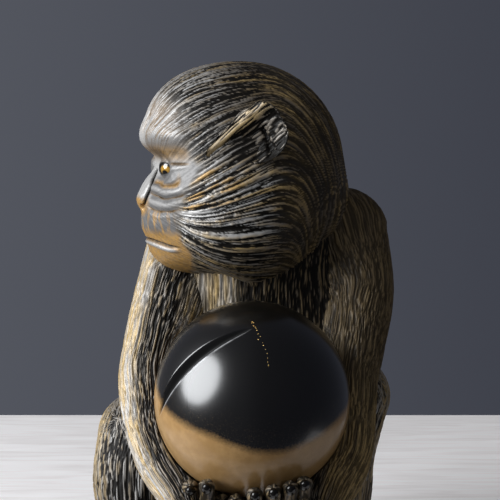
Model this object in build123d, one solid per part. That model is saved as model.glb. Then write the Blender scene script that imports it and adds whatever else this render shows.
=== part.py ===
from build123d import *
import os
from functools import cache
from math import cos, radians, sin, sqrt

# A seated monkey hugging a ball: resin castings, pinned and glued, with the ball lying loose in the arms.
# Millimetres, +Z up. The figure faces -Y and its own left is +X. Its head looks over its right shoulder.
# The origin is the centre of the felt pad's underside, on the table.

# Fits
GLUE_LINE = 0.15  # gap between two glued castings
DOWEL_CLEARANCE = 0.05  # radial gap round a glued dowel
BALL_CLEARANCE = 0.4  # gap between the loose ball and its cradle
CAP_STEP = 0.02  # how far a limb's round end stands proud of its tube

# Underside
FELT_THICKNESS = 1.5
PAD_RADII = (34.0, 25.0)
PLATE_RADII = (26.0, 19.0)
PLATE_THICKNESS = 3.0
POUR_RADII = (22.0, 15.0)
FLOOR_THICKNESS = 6.5
FOOT_PAD_RADIUS = 7.0

# Torso
HAUNCH_CENTRE = (0.0, 0.0, 30.0)
HAUNCH_RADII = (47.0, 36.0, 46.0)
CHEST_CENTRE = (0.0, -2.0, 95.0)
CHEST_RADII = (43.0, 34.0, 68.0)
BODY_WALL = 4.5
NECK_BLOCK = 40.0  # solid height left under the top of the chest

# Head: its own forward, left and up directions, measured from the middle of the skull
HEAD_CENTRE = (-5.0, -21.0, 168.0)
HEAD_TURN = 192.0  # degrees from +X to the way the face looks
SKULL_CENTRE = (1.0, 0.0, 0.5)
SKULL_RADII = (39.8, 35.0, 40.9)
FOREHEAD_CENTRE = (14.0, 0.0, 16.0)
FOREHEAD_RADII = (25.0, 26.0, 22.0)
FACE_BAND_CENTRE = (48.0, 0.0, 1.5)  # hollow across the face at the eyes
FACE_BAND_RADII = (12.5, 30.0, 8.0)
BROW_CENTRE = (31.0, 0.0, 12.0)
BROW_RADII = (11.5, 24.0, 6.5)
MUZZLE_CENTRE = (21.0, 0.0, -22.7)
MUZZLE_RADII = (20.8, 20.0, 18.8)
NOSE_CENTRE = (37.0, 0.0, -10.5)
NOSE_RADII = (6.5, 6.5, 7.0)
CHEEK_CENTRE = (6.0, 15.0, -15.0)
CHEEK_RADII = (26.0, 22.0, 25.0)
ORBIT_CENTRE = (39.5, 12.0, 0.5)
ORBIT_RADII = (7.5, 8.5, 6.0)
EYE_CENTRE = (32.5, 12.0, 0.5)
EYE_RADIUS = 4.2
MOUTH_DROP = 8.0  # mouth line below the middle of the muzzle
MOUTH_TILT = 14.0  # degrees that the mouth line falls towards the jaw
MOUTH_WIDTH = 1.2
MOUTH_DEPTH = 1.4
HEAD_CAVITY_CENTRE = (-5.0, 0.0, 3.5)
HEAD_CAVITY_RADII = (27.0, 27.0, 32.0)

# Ears
EAR_CENTRE = (5.0, 35.5, 14.0)
EAR_RADII = (18.0, 6.0, 11.5)
EAR_FLARE = 24.0  # degrees that the rear rim stands off the head
EAR_LEAN = 40.0  # degrees that the long axis rises towards the rear
EAR_BOWL_RADII = (14.0, 6.0, 8.5)
EAR_BOWL_OFFSET = 5.0

# Ball: a lacquered hollow casting with a blind crease, and its plug on the hidden side
BALL_CENTRE = (-2.5, -60.0, 83.5)
BALL_RADIUS = 36.5
BALL_WALL = 4.5
CREASE_NORMAL = (0.361, -0.761, -0.539)
CREASE_MIDDLE = (-0.605, -0.656, 0.452)
CREASE_HALF_ANGLE = 38.0
CREASE_DEPTH = 3.0
CREASE_WIDTH = 3.0
LIFT_AXIS = (0.0, -0.7071, 0.7071)  # the way the ball comes out of the arms
PLUG_RADIUS = 5.0

# Arms: shoulder and upper arm from the middle of the chest, then standing off the ball towards a direction
RIGHT_UPPER_ARM = (((-27.0, -6.0, 39.0), 18.0), ((-34.0, -18.0, 20.0), 15.5), ((-39.0, -28.0, 3.0), 13.8))
RIGHT_FOREARM = (
    ((-39.0, 20.0, -1.5), 7.3, 12.5),
    ((-34.5, 6.0, -21.5), 5.0, 10.5),
    ((-24.5, -6.0, -36.5), 8.6, 8.5),
)
LEFT_UPPER_ARM = (((34.0, -4.0, 45.0), 19.0), ((40.0, -14.0, 23.0), 14.5), ((37.5, -24.0, 5.0), 13.0))
LEFT_FOREARM = (
    ((37.0, 24.0, 0.5), 7.6, 12.0),
    ((35.0, 8.0, -23.5), 6.5, 10.5),
    ((27.5, -6.0, -37.5), 10.4, 8.5),
)

# Hands: a palm under the ball, and fingers curling up its front, as (sideways offset, tip angle)
PALM_OFFSET = (16.0, 2.0)  # sideways and back from the middle of the ball
PALM_RADII = (14.5, 16.0, 8.0)
PALM_DROP = 5.5  # middle of the palm below the underside of the ball
HAND_PARTING = 0.5  # gap between the two hands
FINGER_RADIUS = 3.0
FINGER_GAP = 0.3  # further off the ball than the palm
FINGER_ROOT_ANGLE = 4.0
RIGHT_FINGERS = ((-22.6, 33.0), (-16.2, 43.0), (-11.0, 25.0), (-5.8, 33.0))
LEFT_FINGERS = ((1.1, 43.5), (7.6, 44.5), (13.7, 44.0), (18.8, 43.0))

# Legs: hip, knee, calf, shin and ankle, from the middle of the haunch
RIGHT_LEG = (
    ((-24.0, 4.0, 6.0), 23.0),
    ((-46.0, -36.0, 34.0), 16.5),
    ((-47.0, -42.0, 16.0), 17.0),
    ((-45.0, -47.0, -2.0), 14.0),
    ((-40.0, -50.0, -12.0), 10.5),
)
LEFT_LEG = (
    ((24.0, 4.0, 10.0), 23.0),
    ((36.5, -24.0, 47.0), 16.0),
    ((29.0, -34.0, 18.0), 13.5),
    ((27.0, -44.0, -4.0), 12.0),
    ((27.0, -50.0, -12.0), 10.0),
)

# Feet: a sole ahead of each ankle, and toes at its front
HEEL_RADII = (11.0, 14.0, 9.5)
HEEL_HEIGHT = 8.5
SOLE_RADII = (12.0, 25.0, 9.0)
SOLE_REACH = 18.0
FOOT_TURN = 8.0  # degrees that each foot points in
TOE_RADII = (3.4, 8.5, 4.2)
TOE_PITCH = 5.0
TOE_REACH = 40.0
TOE_HEIGHT = 5.0
TOE_CURVE = 0.9  # how much further back each toe sits, by the square of its place from the middle one
TOES = 5

# Dowels
NECK_DOWEL_PLACE = (-3.0, -14.0)
NECK_DOWEL_RADIUS = 6.0
NECK_DOWEL_LENGTH = 36.0
LIMB_DOWEL_RADIUS = 3.0
LIMB_DOWEL_LENGTH = 16.0
END_DOWEL_RADIUS = 2.0
END_DOWEL_LENGTH = 11.0

SIDES = {"right": -1, "left": 1}
LARGE = 400.0  # a block that reaches past the whole figure


def ellipsoid(centre, radii, grow=0.0):
    """An ellipsoid standing square to the axes, its radii all grown by the same amount."""
    return Pos(*centre) * scale(Sphere(1), by=tuple(r + grow for r in radii))


def oval_plate(radii, bottom, height):
    """An upright elliptic plate over the middle of the base."""
    return Pos(0, 0, bottom) * extrude(Ellipse(*radii), height)


def pin(middle, along, radius, length):
    """A round pin centred on a point."""
    return Plane(origin=Vector(*middle), z_dir=Vector(*along)) * Cylinder(radius, length)


def below(height):
    """Everything under a level."""
    return Pos(0, 0, height - LARGE / 2) * Box(LARGE, LARGE, LARGE)


def largest(shape):
    """The main piece that a cut leaves."""
    return shape.solids().sort_by(SortBy.VOLUME)[-1]


def limb(stations, grow=0.0):
    """A tube that swells and tapers through round stations, with a ball at each end."""
    points = [Vector(*place) for place, _ in stations]
    rings = []
    for i, (_, radius) in enumerate(stations):
        along = points[min(i + 1, len(points) - 1)] - points[max(i - 1, 0)]
        side = Vector(1, 0, 0) - along * (along.X / along.length**2)
        rings.append(Plane(origin=points[i], x_dir=side, z_dir=along) * Circle(radius + grow))
    ends = [Pos(*points[i]) * Sphere(stations[i][1] + grow + CAP_STEP) for i in (0, -1)]
    return loft(rings) + ends[0] + ends[1]


# The head's own frame, and its forms
HEAD_FRAME = Pos(*HEAD_CENTRE) * Rot(0, 0, HEAD_TURN)


def mirrored(centre, side):
    """A place on the head's left, or the same one on its right."""
    return (centre[0], centre[1] * side, centre[2])


def head_ellipsoid(centre, radii, grow=0.0):
    """The same with its poles at the front and the back, which keeps the joins between the forms clean."""
    turned = tuple(r + grow for r in reversed(radii))
    return Pos(*centre) * Rot(0, 90, 0) * scale(Sphere(1), by=turned)


@cache
def head_form(grow=0.0):
    """Skull, forehead, muzzle, brow, nose and two cheeks run together, hollowed across the eyes."""
    form = head_ellipsoid(SKULL_CENTRE, SKULL_RADII, grow)
    form = form + head_ellipsoid(FOREHEAD_CENTRE, FOREHEAD_RADII, grow)
    form = form - head_ellipsoid(FACE_BAND_CENTRE, FACE_BAND_RADII, -grow)
    form = form + head_ellipsoid(MUZZLE_CENTRE, MUZZLE_RADII, grow)
    form = form + head_ellipsoid(BROW_CENTRE, BROW_RADII, grow)
    for side in SIDES.values():
        form = form + head_ellipsoid(mirrored(CHEEK_CENTRE, side), CHEEK_RADII, grow)
    form = form + head_ellipsoid(NOSE_CENTRE, NOSE_RADII, grow)
    return HEAD_FRAME * form


def mouth_groove():
    """A shallow slot that follows the muzzle round at the mouth line."""
    slab = Rot(0, MOUTH_TILT, 0) * Box(LARGE, LARGE, MOUTH_WIDTH)
    slab = Pos(MUZZLE_CENTRE[0], 0, MUZZLE_CENTRE[2] - MOUTH_DROP) * slab
    front = Pos(MUZZLE_CENTRE[0] + LARGE / 2, 0, 0) * Box(LARGE, LARGE, LARGE)
    ring = head_ellipsoid(MUZZLE_CENTRE, MUZZLE_RADII, MOUTH_DEPTH)
    ring = ring - head_ellipsoid(MUZZLE_CENTRE, MUZZLE_RADII, -MOUTH_DEPTH)
    return HEAD_FRAME * (ring & slab & front)


def neck_dowel(extra=0.0):
    """The upright pin between head and body, centred on the underside of the muzzle's level."""
    level = HEAD_CENTRE[2] + MUZZLE_CENTRE[2] - MUZZLE_RADII[2]
    return pin((*NECK_DOWEL_PLACE, level), (0, 0, 1), NECK_DOWEL_RADIUS + extra, NECK_DOWEL_LENGTH)


def head_casting():
    """A hollow head with eye sockets, a mouth line and a bore up through the neck."""
    head = head_form()
    for side in SIDES.values():
        head = head - eye(side, GLUE_LINE)
        head = head - HEAD_FRAME * head_ellipsoid(mirrored(ORBIT_CENTRE, side), ORBIT_RADII)
    head = head - mouth_groove() - HEAD_FRAME * head_ellipsoid(HEAD_CAVITY_CENTRE, HEAD_CAVITY_RADII)
    return largest(head - neck_dowel(DOWEL_CLEARANCE))


def eye(side, grow=0.0):
    """A glass eye let into its socket, its poles at the front and the back like the head's forms."""
    return HEAD_FRAME * Pos(*mirrored(EYE_CENTRE, side)) * Rot(0, 90, 0) * Sphere(EYE_RADIUS + grow)


def ear(side):
    """A bowl-shaped flap seated on the side of the skull, its rear rim standing off."""
    flap = ellipsoid((0, 0, 0), EAR_RADII) - ellipsoid((0, EAR_BOWL_OFFSET * side, 0), EAR_BOWL_RADII)
    flap = Pos(*mirrored(EAR_CENTRE, side)) * Rot(0, 0, -EAR_FLARE * side) * Rot(0, EAR_LEAN, 0) * flap
    return largest(HEAD_FRAME * (flap - head_ellipsoid(SKULL_CENTRE, SKULL_RADII, GLUE_LINE)))


# Ball
@cache
def ball_form(grow=0.0):
    """The whole round of the ball."""
    return Pos(*BALL_CENTRE) * Sphere(BALL_RADIUS + grow)


def crease():
    """A slot cut along the ball's round, deepest half way and running out at both ends."""
    half = radians(CREASE_HALF_ANGLE)
    floor = BALL_RADIUS - CREASE_DEPTH
    rise = BALL_RADIUS * cos(half)
    back = (BALL_RADIUS**2 - floor**2) / (2 * (floor - rise))
    middle = Vector(*BALL_CENTRE) - Vector(*CREASE_MIDDLE).normalized() * back
    disc = pin(BALL_CENTRE, CREASE_NORMAL, BALL_RADIUS + CREASE_DEPTH, CREASE_WIDTH)
    return disc - pin(middle, CREASE_NORMAL, floor + back, CREASE_WIDTH * 2)


def plug_bar(radius):
    """A bar out through the ball's wall, on the side away from the lift."""
    reach = BALL_RADIUS - BALL_WALL / 2
    middle = Vector(*BALL_CENTRE) - Vector(*LIFT_AXIS).normalized() * reach
    return pin(middle, LIFT_AXIS, radius, BALL_WALL * 2)


def ball_shell():
    """A hollow ball, creased on its upper right front, with its pouring hole behind."""
    return largest(ball_form() - ball_form(-BALL_WALL) - crease() - plug_bar(PLUG_RADIUS + GLUE_LINE))


def ball_plug():
    """The disc that closes the ball, flush with its outside."""
    return largest(plug_bar(PLUG_RADIUS) & (ball_form() - ball_form(-BALL_WALL)))


# Torso
@cache
def torso_form(grow=0.0):
    """Chest and haunch as two ellipsoids that run into each other."""
    return ellipsoid(CHEST_CENTRE, CHEST_RADII, grow) + ellipsoid(HAUNCH_CENTRE, HAUNCH_RADII, grow)


def body_cavity():
    """The hollow of the torso: clear of the ball's dish, of the neck and of the floor."""
    roof = CHEST_CENTRE[2] + CHEST_RADII[2] - NECK_BLOCK
    hollow = torso_form(-BODY_WALL) - ball_form(BALL_CLEARANCE + BODY_WALL)
    hollow = hollow - below(FELT_THICKNESS + FLOOR_THICKNESS)
    return hollow - Pos(0, 0, roof + LARGE / 2) * Box(LARGE, LARGE, LARGE)


def body_casting():
    """The hollow torso, dished for ball and head, drilled for the dowels and open underneath."""
    body = torso_form() - ball_form(BALL_CLEARANCE) - head_form(GLUE_LINE) - below(FELT_THICKNESS)
    body = body - body_cavity() - neck_dowel(DOWEL_CLEARANCE)
    for side in SIDES:
        body = body - shoulder_dowel(side, DOWEL_CLEARANCE) - hip_dowel(side, DOWEL_CLEARANCE)
    rebate = tuple(r + GLUE_LINE for r in PLATE_RADII)
    body = body - oval_plate(POUR_RADII, FELT_THICKNESS, FLOOR_THICKNESS + BODY_WALL)
    return largest(body - oval_plate(rebate, FELT_THICKNESS, PLATE_THICKNESS + GLUE_LINE))


# Arms
def by_ball(direction, standoff):
    """A place that stands off the ball's surface towards a direction."""
    return Vector(*BALL_CENTRE) + Vector(*direction).normalized() * (BALL_RADIUS + standoff)


def arm_stations(side):
    """Shoulder to wrist, as places and radii."""
    upper, fore = {"right": (RIGHT_UPPER_ARM, RIGHT_FOREARM), "left": (LEFT_UPPER_ARM, LEFT_FOREARM)}[side]
    stations = [(tuple(Vector(*CHEST_CENTRE) + Vector(*place)), radius) for place, radius in upper]
    return stations + [(tuple(by_ball(way, standoff)), radius) for way, standoff, radius in fore]


@cache
def arm_form(side, grow=0.0):
    """The whole tube of an arm."""
    return limb(arm_stations(side), grow)


def shoulder_dowel(side, extra=0.0):
    """A pin straight out of the chest's flank into the upper arm."""
    (x, y, z), _ = arm_stations(side)[1]
    depth = (y - CHEST_CENTRE[1]) / CHEST_RADII[1]
    height = (z - CHEST_CENTRE[2]) / CHEST_RADII[2]
    flank = CHEST_CENTRE[0] + SIDES[side] * CHEST_RADII[0] * sqrt(1 - depth**2 - height**2)
    return pin((flank, y, z), (1, 0, 0), LIMB_DOWEL_RADIUS + extra, LIMB_DOWEL_LENGTH)


def wrist_dowel(side, extra=0.0):
    """A pin out of the end of the forearm into the palm."""
    wrist, radius = arm_stations(side)[-1]
    along = Vector(*palm_centre(side)) - Vector(*wrist)
    seat = Vector(*wrist) + along.normalized() * radius
    return pin(seat, along, END_DOWEL_RADIUS + extra, END_DOWEL_LENGTH)


def arm_casting(side):
    """An arm fitted to the chest, the head and the ball that it holds."""
    arm = arm_form(side) - torso_form(GLUE_LINE) - ball_form(BALL_CLEARANCE) - head_form(GLUE_LINE)
    arm = arm - shoulder_dowel(side, DOWEL_CLEARANCE) - wrist_dowel(side, DOWEL_CLEARANCE)
    return largest(arm)


# Hands
def palm_centre(side):
    """Under the ball, on one side of its middle."""
    across, back = PALM_OFFSET
    level = BALL_CENTRE[2] - BALL_RADIUS - PALM_DROP
    return (BALL_CENTRE[0] + across * SIDES[side], BALL_CENTRE[1] + back, level)


def finger(offset, tip_angle):
    """A finger that hugs the ball, from under it up its front, with a round tip."""
    reach = BALL_RADIUS + BALL_CLEARANCE + FINGER_GAP + FINGER_RADIUS
    sweep_radius = sqrt(reach**2 - offset**2)
    hub = Vector(*BALL_CENTRE) + Vector(offset, 0, 0)

    def at(angle):
        return hub + Vector(0, -sin(radians(angle)), -cos(radians(angle))) * sweep_radius

    root = Plane(origin=at(FINGER_ROOT_ANGLE), x_dir=(1, 0, 0), z_dir=(0, -1, 0))
    root = root.rotated((FINGER_ROOT_ANGLE, 0, 0))
    turn = Axis(hub, (-1, 0, 0))
    bend = revolve(root * Circle(FINGER_RADIUS), turn, tip_angle - FINGER_ROOT_ANGLE)
    return bend + Pos(*at(tip_angle)) * Sphere(FINGER_RADIUS + CAP_STEP)


def hand_casting(side):
    """A palm and four fingers under the ball, fitted to the wrist and to the other hand."""
    fingers = {"right": RIGHT_FINGERS, "left": LEFT_FINGERS}[side]
    hand = ellipsoid(palm_centre(side), PALM_RADII)
    for offset, tip_angle in fingers:
        hand = hand + finger(offset, tip_angle)
    parting = (RIGHT_FINGERS[-1][0] + LEFT_FINGERS[0][0]) / 2 + BALL_CENTRE[0]
    other = parting - SIDES[side] * (LARGE / 2 - HAND_PARTING / 2)
    hand = hand - Pos(other, 0, 0) * Box(LARGE, LARGE, LARGE)
    hand = hand - ball_form(BALL_CLEARANCE) - arm_form(side, GLUE_LINE)
    return largest(hand - wrist_dowel(side, DOWEL_CLEARANCE))


# Legs
def leg_stations(side):
    """Hip to ankle, as places and radii."""
    stations = {"right": RIGHT_LEG, "left": LEFT_LEG}[side]
    return [(tuple(Vector(*HAUNCH_CENTRE) + Vector(*place)), radius) for place, radius in stations]


def hip_dowel(side, extra=0.0):
    """A pin along the thigh, where it leaves the haunch."""
    (hip, _), (knee, _) = leg_stations(side)[:2]
    hip, knee = Vector(*hip), Vector(*knee)
    return pin((hip + knee) * 0.5, knee - hip, LIMB_DOWEL_RADIUS + extra, LIMB_DOWEL_LENGTH)


@cache
def leg_form(side, grow=0.0):
    """A thigh up to the knee and a shin down to the ankle."""
    stations = leg_stations(side)
    return limb(stations[:2], grow) + limb(stations[1:], grow)


def leg_casting(side):
    """A folded leg fitted to the torso, the arm in front of it and the ball."""
    leg = leg_form(side) - torso_form(GLUE_LINE) - arm_form(side, GLUE_LINE) - ball_form(BALL_CLEARANCE)
    leg = leg - ellipsoid(palm_centre(side), PALM_RADII, GLUE_LINE) - below(FELT_THICKNESS)
    leg = leg - hip_dowel(side, DOWEL_CLEARANCE) - ankle_dowel(side, DOWEL_CLEARANCE)
    return largest(leg)


# Feet
def foot_frame(side):
    """On the table under the ankle, its +Y towards the heel."""
    (x, y, _), _ = leg_stations(side)[-1]
    return Pos(x, y, 0) * Rot(0, 0, FOOT_TURN * SIDES[side])


def ankle_dowel(side, extra=0.0):
    """An upright pin between ankle and foot."""
    (x, y, z), radius = leg_stations(side)[-1]
    return pin((x, y, z - radius), (0, 0, 1), END_DOWEL_RADIUS + extra, END_DOWEL_LENGTH)


def foot_casting(side):
    """Heel, sole and toes, flat underneath and hollowed for the ankle."""
    foot = ellipsoid((0, 0, HEEL_HEIGHT), HEEL_RADII) + ellipsoid((0, -SOLE_REACH, HEEL_HEIGHT), SOLE_RADII)
    for place in range(TOES):
        step = place - (TOES - 1) / 2
        reach = TOE_REACH - TOE_CURVE * step**2
        foot = foot + ellipsoid((TOE_PITCH * step, -reach, TOE_HEIGHT), TOE_RADII)
    foot = foot_frame(side) * foot - below(FELT_THICKNESS) - leg_form(side, GLUE_LINE)
    return largest(foot - ankle_dowel(side, DOWEL_CLEARANCE))


def foot_pad(side):
    """A felt dot under the sole."""
    dot = Cylinder(FOOT_PAD_RADIUS, FELT_THICKNESS)
    return foot_frame(side) * Pos(0, -SOLE_REACH, FELT_THICKNESS / 2) * dot


# Assembly
pieces = {
    "body_casting": body_casting(),
    "head_casting": head_casting(),
    "ball_shell": ball_shell(),
    "ball_plug": ball_plug(),
    "neck_dowel": neck_dowel(),
    "limb_dowels": Compound([d(s) for d in (shoulder_dowel, hip_dowel) for s in SIDES]),
    "end_dowels": Compound([d(s) for d in (wrist_dowel, ankle_dowel) for s in SIDES]),
    "base_plate": oval_plate(PLATE_RADII, FELT_THICKNESS, PLATE_THICKNESS),
    "felt_pad": oval_plate(PAD_RADII, 0, FELT_THICKNESS),
    "foot_pads": Compound([foot_pad(s) for s in SIDES]),
}
for side, sign in SIDES.items():
    pieces[f"{side}_ear"] = ear(sign)
    pieces[f"{side}_eye"] = eye(sign)
    pieces[f"{side}_arm"] = arm_casting(side)
    pieces[f"{side}_hand"] = hand_casting(side)
    pieces[f"{side}_leg"] = leg_casting(side)
    pieces[f"{side}_foot"] = foot_casting(side)

os.makedirs("parts", exist_ok=True)
for name, piece in pieces.items():
    export_step(piece, f"parts/{name}.step")
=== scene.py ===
"""A carved monkey hugging a lacquered ball: black resin dry-brushed with bronze, gold and silver.

Lengths are millimetres until a mesh is written. Every surface is a grid of points worked out from a formula,
and its fur is noise smeared along the lie of the hair, pressed into the surface as grooves.
"""

import bpy
import numpy as np
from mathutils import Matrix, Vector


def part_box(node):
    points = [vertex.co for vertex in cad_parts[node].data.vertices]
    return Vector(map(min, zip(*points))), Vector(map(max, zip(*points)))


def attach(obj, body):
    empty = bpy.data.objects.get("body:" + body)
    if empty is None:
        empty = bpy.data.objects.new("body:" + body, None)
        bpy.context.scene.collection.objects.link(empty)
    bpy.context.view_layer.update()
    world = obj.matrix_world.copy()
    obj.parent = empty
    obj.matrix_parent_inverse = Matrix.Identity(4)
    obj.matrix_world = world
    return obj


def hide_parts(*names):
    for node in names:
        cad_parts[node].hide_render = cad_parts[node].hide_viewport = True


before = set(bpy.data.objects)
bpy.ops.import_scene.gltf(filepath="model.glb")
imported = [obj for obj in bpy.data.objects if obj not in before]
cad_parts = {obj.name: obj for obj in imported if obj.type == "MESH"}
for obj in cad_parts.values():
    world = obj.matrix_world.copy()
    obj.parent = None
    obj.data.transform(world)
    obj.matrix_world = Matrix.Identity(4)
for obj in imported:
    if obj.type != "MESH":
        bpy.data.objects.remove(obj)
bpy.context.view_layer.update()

MM = 0.001


def node_box(node):
    """Lowest and highest corner of a solid, in millimetres."""
    low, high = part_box(node)
    return np.array(low) / MM, np.array(high) / MM


def node_middle(node):
    """Middle of a solid's box, in millimetres."""
    low, high = node_box(node)
    return (low + high) / 2


SIDES = {"right": -1, "left": 1}

# Ball, from its solid
ball_low, ball_high = node_box("ball_shell")
BALL_RADIUS = (ball_high - ball_low)[2] / 2
BALL_CENTRE = (ball_low + ball_high) / 2
BALL_ROOM = 0.6
CREASE_NORMAL = np.array((0.361, -0.761, -0.539))
CREASE_MIDDLE = np.array((-0.605, -0.656, 0.452))
CREASE_HALF_ANGLE = np.radians(41)
CREASE_DEPTH = 2.7
CREASE_HALF_WIDTH = 2.8
BORDER_NORMAL = np.array((0.066, -0.451, 0.89))
BORDER_LEVEL = 0.165
BORDER_WAVE = ((-1, -0.6, -0.36, 0, 0.3, 0.6, 0.87, 1), (0, 0.045, 0.05, -0.03, -0.045, -0.01, 0.03, 0))  # aside, rise
FLECK_TRAIL = ((0.0, -0.49, 0.87), (0.18, -0.845, 0.50))

# Torso
TORSO_FORMS = (((0, -2, 95), (43, 34, 68)), ((0, 0, 30), (47, 36, 46)))
TORSO_AXIS = (0, -1.5)
TORSO_FOOT = 1.5
TORSO_TOP = 162.5
TORSO_BLEND = 14
TORSO_GIRTH = 40

# Head, in its own forward, left and up directions
HEAD_CENTRE = np.array((-5, -21, 168))
HEAD_TURN = np.radians(192)
HEAD_EYE = np.array((12, 0, -6))  # where the head's rays start
FACE_MIDDLE = np.array((36, 0, -8))
SKULL = SKULL_CENTRE, SKULL_RADII = np.array((1, 0, 0.5)), np.array((39.8, 35, 40.9))
FOREHEAD = ((14, 0, 16), (25, 26, 22))
CHEEK = ((6, 15, -15), (26, 22, 25))
FACE_BAND = ((48.5, 0, 1.5), (14, 30, 8.5))
ORBIT = ((40.5, 13, 0.5), (9.3, 9, 6.2))
MUZZLE = ((21, 0, -22.7), (20.8, 20, 18.8))
BROW = ((28.7, 0, 13.4), (11.5, 24, 5.3))
NOSE_TIP = ((38.2, 0, -12.2), (5, 6.2, 4.2))
NOSTRIL = ((42, 3.2, -15), (2.6, 1.4, 1.3))
BRIDGE = (((27.3, 0, 6), 3.8), ((35.7, 0, -9), 4.4))
EYE_PLACE = np.array((31.5, 12, 0.5))
EYE_RADIUS = 4.1
EYE_GAZE = np.radians(34)  # how far out from straight ahead
LID_RADIUS = 4.8
LID_OPENING = (3.4, 3.5, 2.2)  # depth, half width and half height
PUPIL_WAY = np.array((0.676, 0.567, -0.47))  # the eye looks down and a little out
SIDE_VIEW = np.array((-0.978, 0.208))  # rearwards as seen from beside the face, from forward and aside
EYE_REAR = -31.2  # the eye's own place along that way
EYE_FOLD_PITCH = 5.1
MOUTH_FRONT = (40, -27.8)
MOUTH_FALL, MOUTH_CURVE = 0.36, 0.018  # drop of the mouth line with each step back, and its easing
MOUTH_CORNER = 29.5
NOSE_FOLD = ((35.3, -0.5), (40.4, -14.2))  # forward as seen from beside, and up
MOUTH_SET_BACK = 1.5
FLOW_HEIGHTS = (-40, -33, -25, -15, -8, 0, 6, 15, 30)
FLOW_RISES = (-0.25, -0.15, 0.0, 0.2, 0.4, 0.6, 0.55, 0.4, 0.3)
BARE_HEIGHTS = (-45, -35, -30, -24, -19, -14, -9, -4, 1, 6, 12, 17, 24, 32)
BARE_EDGES = (22, 24, 26.5, 30.5, 30.5, 30.5, 29, 25.5, 22, 26, 29, 30, 31, 36)

# Limbs: places and radii
LEFT_ARM_TOP = (((34, -6, 140), 19), ((40, -16, 118), 14.5), ((37.5, -26, 100), 13))
LEFT_ARM_END = (((37, 24, 0.5), 7.6, 12), ((35, 8, -23.5), 6.5, 10.5), ((27.5, -6, -37.5), 10.4, 8.5))
RIGHT_ARM_TOP = (((-27, -8, 134), 18), ((-34, -20, 115), 15.5), ((-39, -30, 98), 13.8))
RIGHT_ARM_END = (((-39, 20, -1.5), 7.3, 12.5), ((-34.5, 6, -21.5), 5, 10.5), ((-24.5, -6, -36.5), 8.6, 8.5))
LEFT_LEG = (((24, 4, 40), 23), ((36.5, -24, 77), 16), ((29, -34, 48), 13.5), ((27, -44, 26), 12), ((27, -50, 18), 10))
RIGHT_LEG = (((-24, 4, 36), 23), ((-46, -36, 64), 16.5), ((-47, -42, 46), 17), ((-45, -47, 28), 14), ((-40, -50, 18), 10.5))
LIMB_SWELL = 7  # reach of the fillet where two forms meet
NECK_SWELL = 20

# Hands and feet
PALM_RADII = (14.5, 16, 8)
PALM_PLACE = (16, 2, -5.5)
FINGER_RADIUS = 3.0
FINGER_GAP = 0.7
FINGER_ROOT = 4
RIGHT_FINGERS = ((-22.6, 24), (-16.2, 43), (-11.0, 25), (-5.8, 33))
LEFT_FINGERS = ((1.1, 43.5), (7.6, 44.5), (13.7, 44), (18.8, 43))
HEEL_RADII = (11, 14, 9.5)
SOLE_RADII = (12, 25, 9)
SOLE_REACH = 18
SOLE_HEIGHT = 8.5
FOOT_TURN = np.radians(8)
TOE_RADII = (3.4, 8.5, 4.2)
TOE_PITCH, TOE_REACH, TOE_HEIGHT, TOE_CURVE, TOES = 5.0, 40, 5, 0.9, 5

# Ears
EAR_PLACE = np.array((6.2, 35.5, 12.8))
EAR_DEPTH = 6
EAR_ANGLES = (-6, 18, 34, 74, 128, 148, 164, 192, 215, 239, 259, 313, 354, 378)  # degrees round the ear
EAR_REACHES = (12.0, 17.6, 12.2, 7.8, 10.2, 14.0, 14.6, 14.1, 14.9, 13.6, 11.9, 9.0, 12.0, 17.6)
EAR_RIM = 5.0  # how far the front rim's crest lies from the ear's long axis
EAR_NOTCH = ((-5.5, -0.9), (-2.9, -10.8))
EAR_FLARE = np.radians(24)
EAR_LEAN = np.radians(40)


# Fields and noise
NOISE_CELLS = 64
NOISE_TABLE = (np.random.default_rng(7).random(NOISE_CELLS**3) * 2 - 1).astype(np.float32)


def noise(places):
    """Value noise: random values on a lattice, carried between its corners by a smooth step."""
    cell = np.floor(places)
    part = (places - cell).astype(np.float32)
    part = part * part * (3 - 2 * part)
    strides = np.array((NOISE_CELLS**2, NOISE_CELLS, 1))
    low = cell.astype(np.int64) % NOISE_CELLS
    high = (low + 1) % NOISE_CELLS * strides
    low = low * strides
    (x0, y0, z0), (x1, y1, z1) = np.moveaxis(low, -1, 0), np.moveaxis(high, -1, 0)
    u, v, w = np.moveaxis(part, -1, 0)

    def edge(x, y):
        near, far = NOISE_TABLE[x + y + z0], NOISE_TABLE[x + y + z1]
        return near + (far - near) * w

    def side(x):
        near = edge(x, y0)
        return near + (edge(x, y1) - near) * v

    near = side(x0)
    return near + (side(x1) - near) * u


def unit(ways):
    """Ways of length one."""
    return ways / np.maximum(np.linalg.norm(ways, axis=-1, keepdims=True), 1e-9)


def ramp(values, start, end):
    """A smooth step from 0 at start to 1 at end."""
    share = np.clip((values - start) / (end - start), 0, 1)
    return share * share * (3 - 2 * share)


def ellipsoid_field(places, form):
    """Near-distance to an ellipsoid: the scaled radius less one, times that radius over its slope."""
    centre, radii = (np.array(part, float) for part in form)
    scaled = (places - centre) / radii
    reach = np.linalg.norm(scaled, axis=-1)
    return reach * (reach - 1) / np.maximum(np.linalg.norm(scaled / radii, axis=-1), 1e-9)


def tube_field(places, stations):
    """Least distance to a chain of straight tapering tubes with round joints."""
    least = np.full(places.shape[:-1], np.inf)
    for (start, first), (end, last) in zip(stations[:-1], stations[1:]):
        start, along = np.array(start, float), np.subtract(end, start)
        share = np.clip((places - start) @ along / (along @ along), 0, 1)
        gap = np.linalg.norm(places - start - share[..., None] * along, axis=-1)
        least = np.minimum(least, gap - first - (last - first) * share)
    return least


def soft_union(one, other, blend):
    """Two fields joined with a fillet: the lesser, lowered a little where they are near each other."""
    share = np.clip(0.5 + 0.5 * (other - one) / blend, 0, 1)
    return other + (one - other) * share - blend * share * (1 - share)


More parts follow.
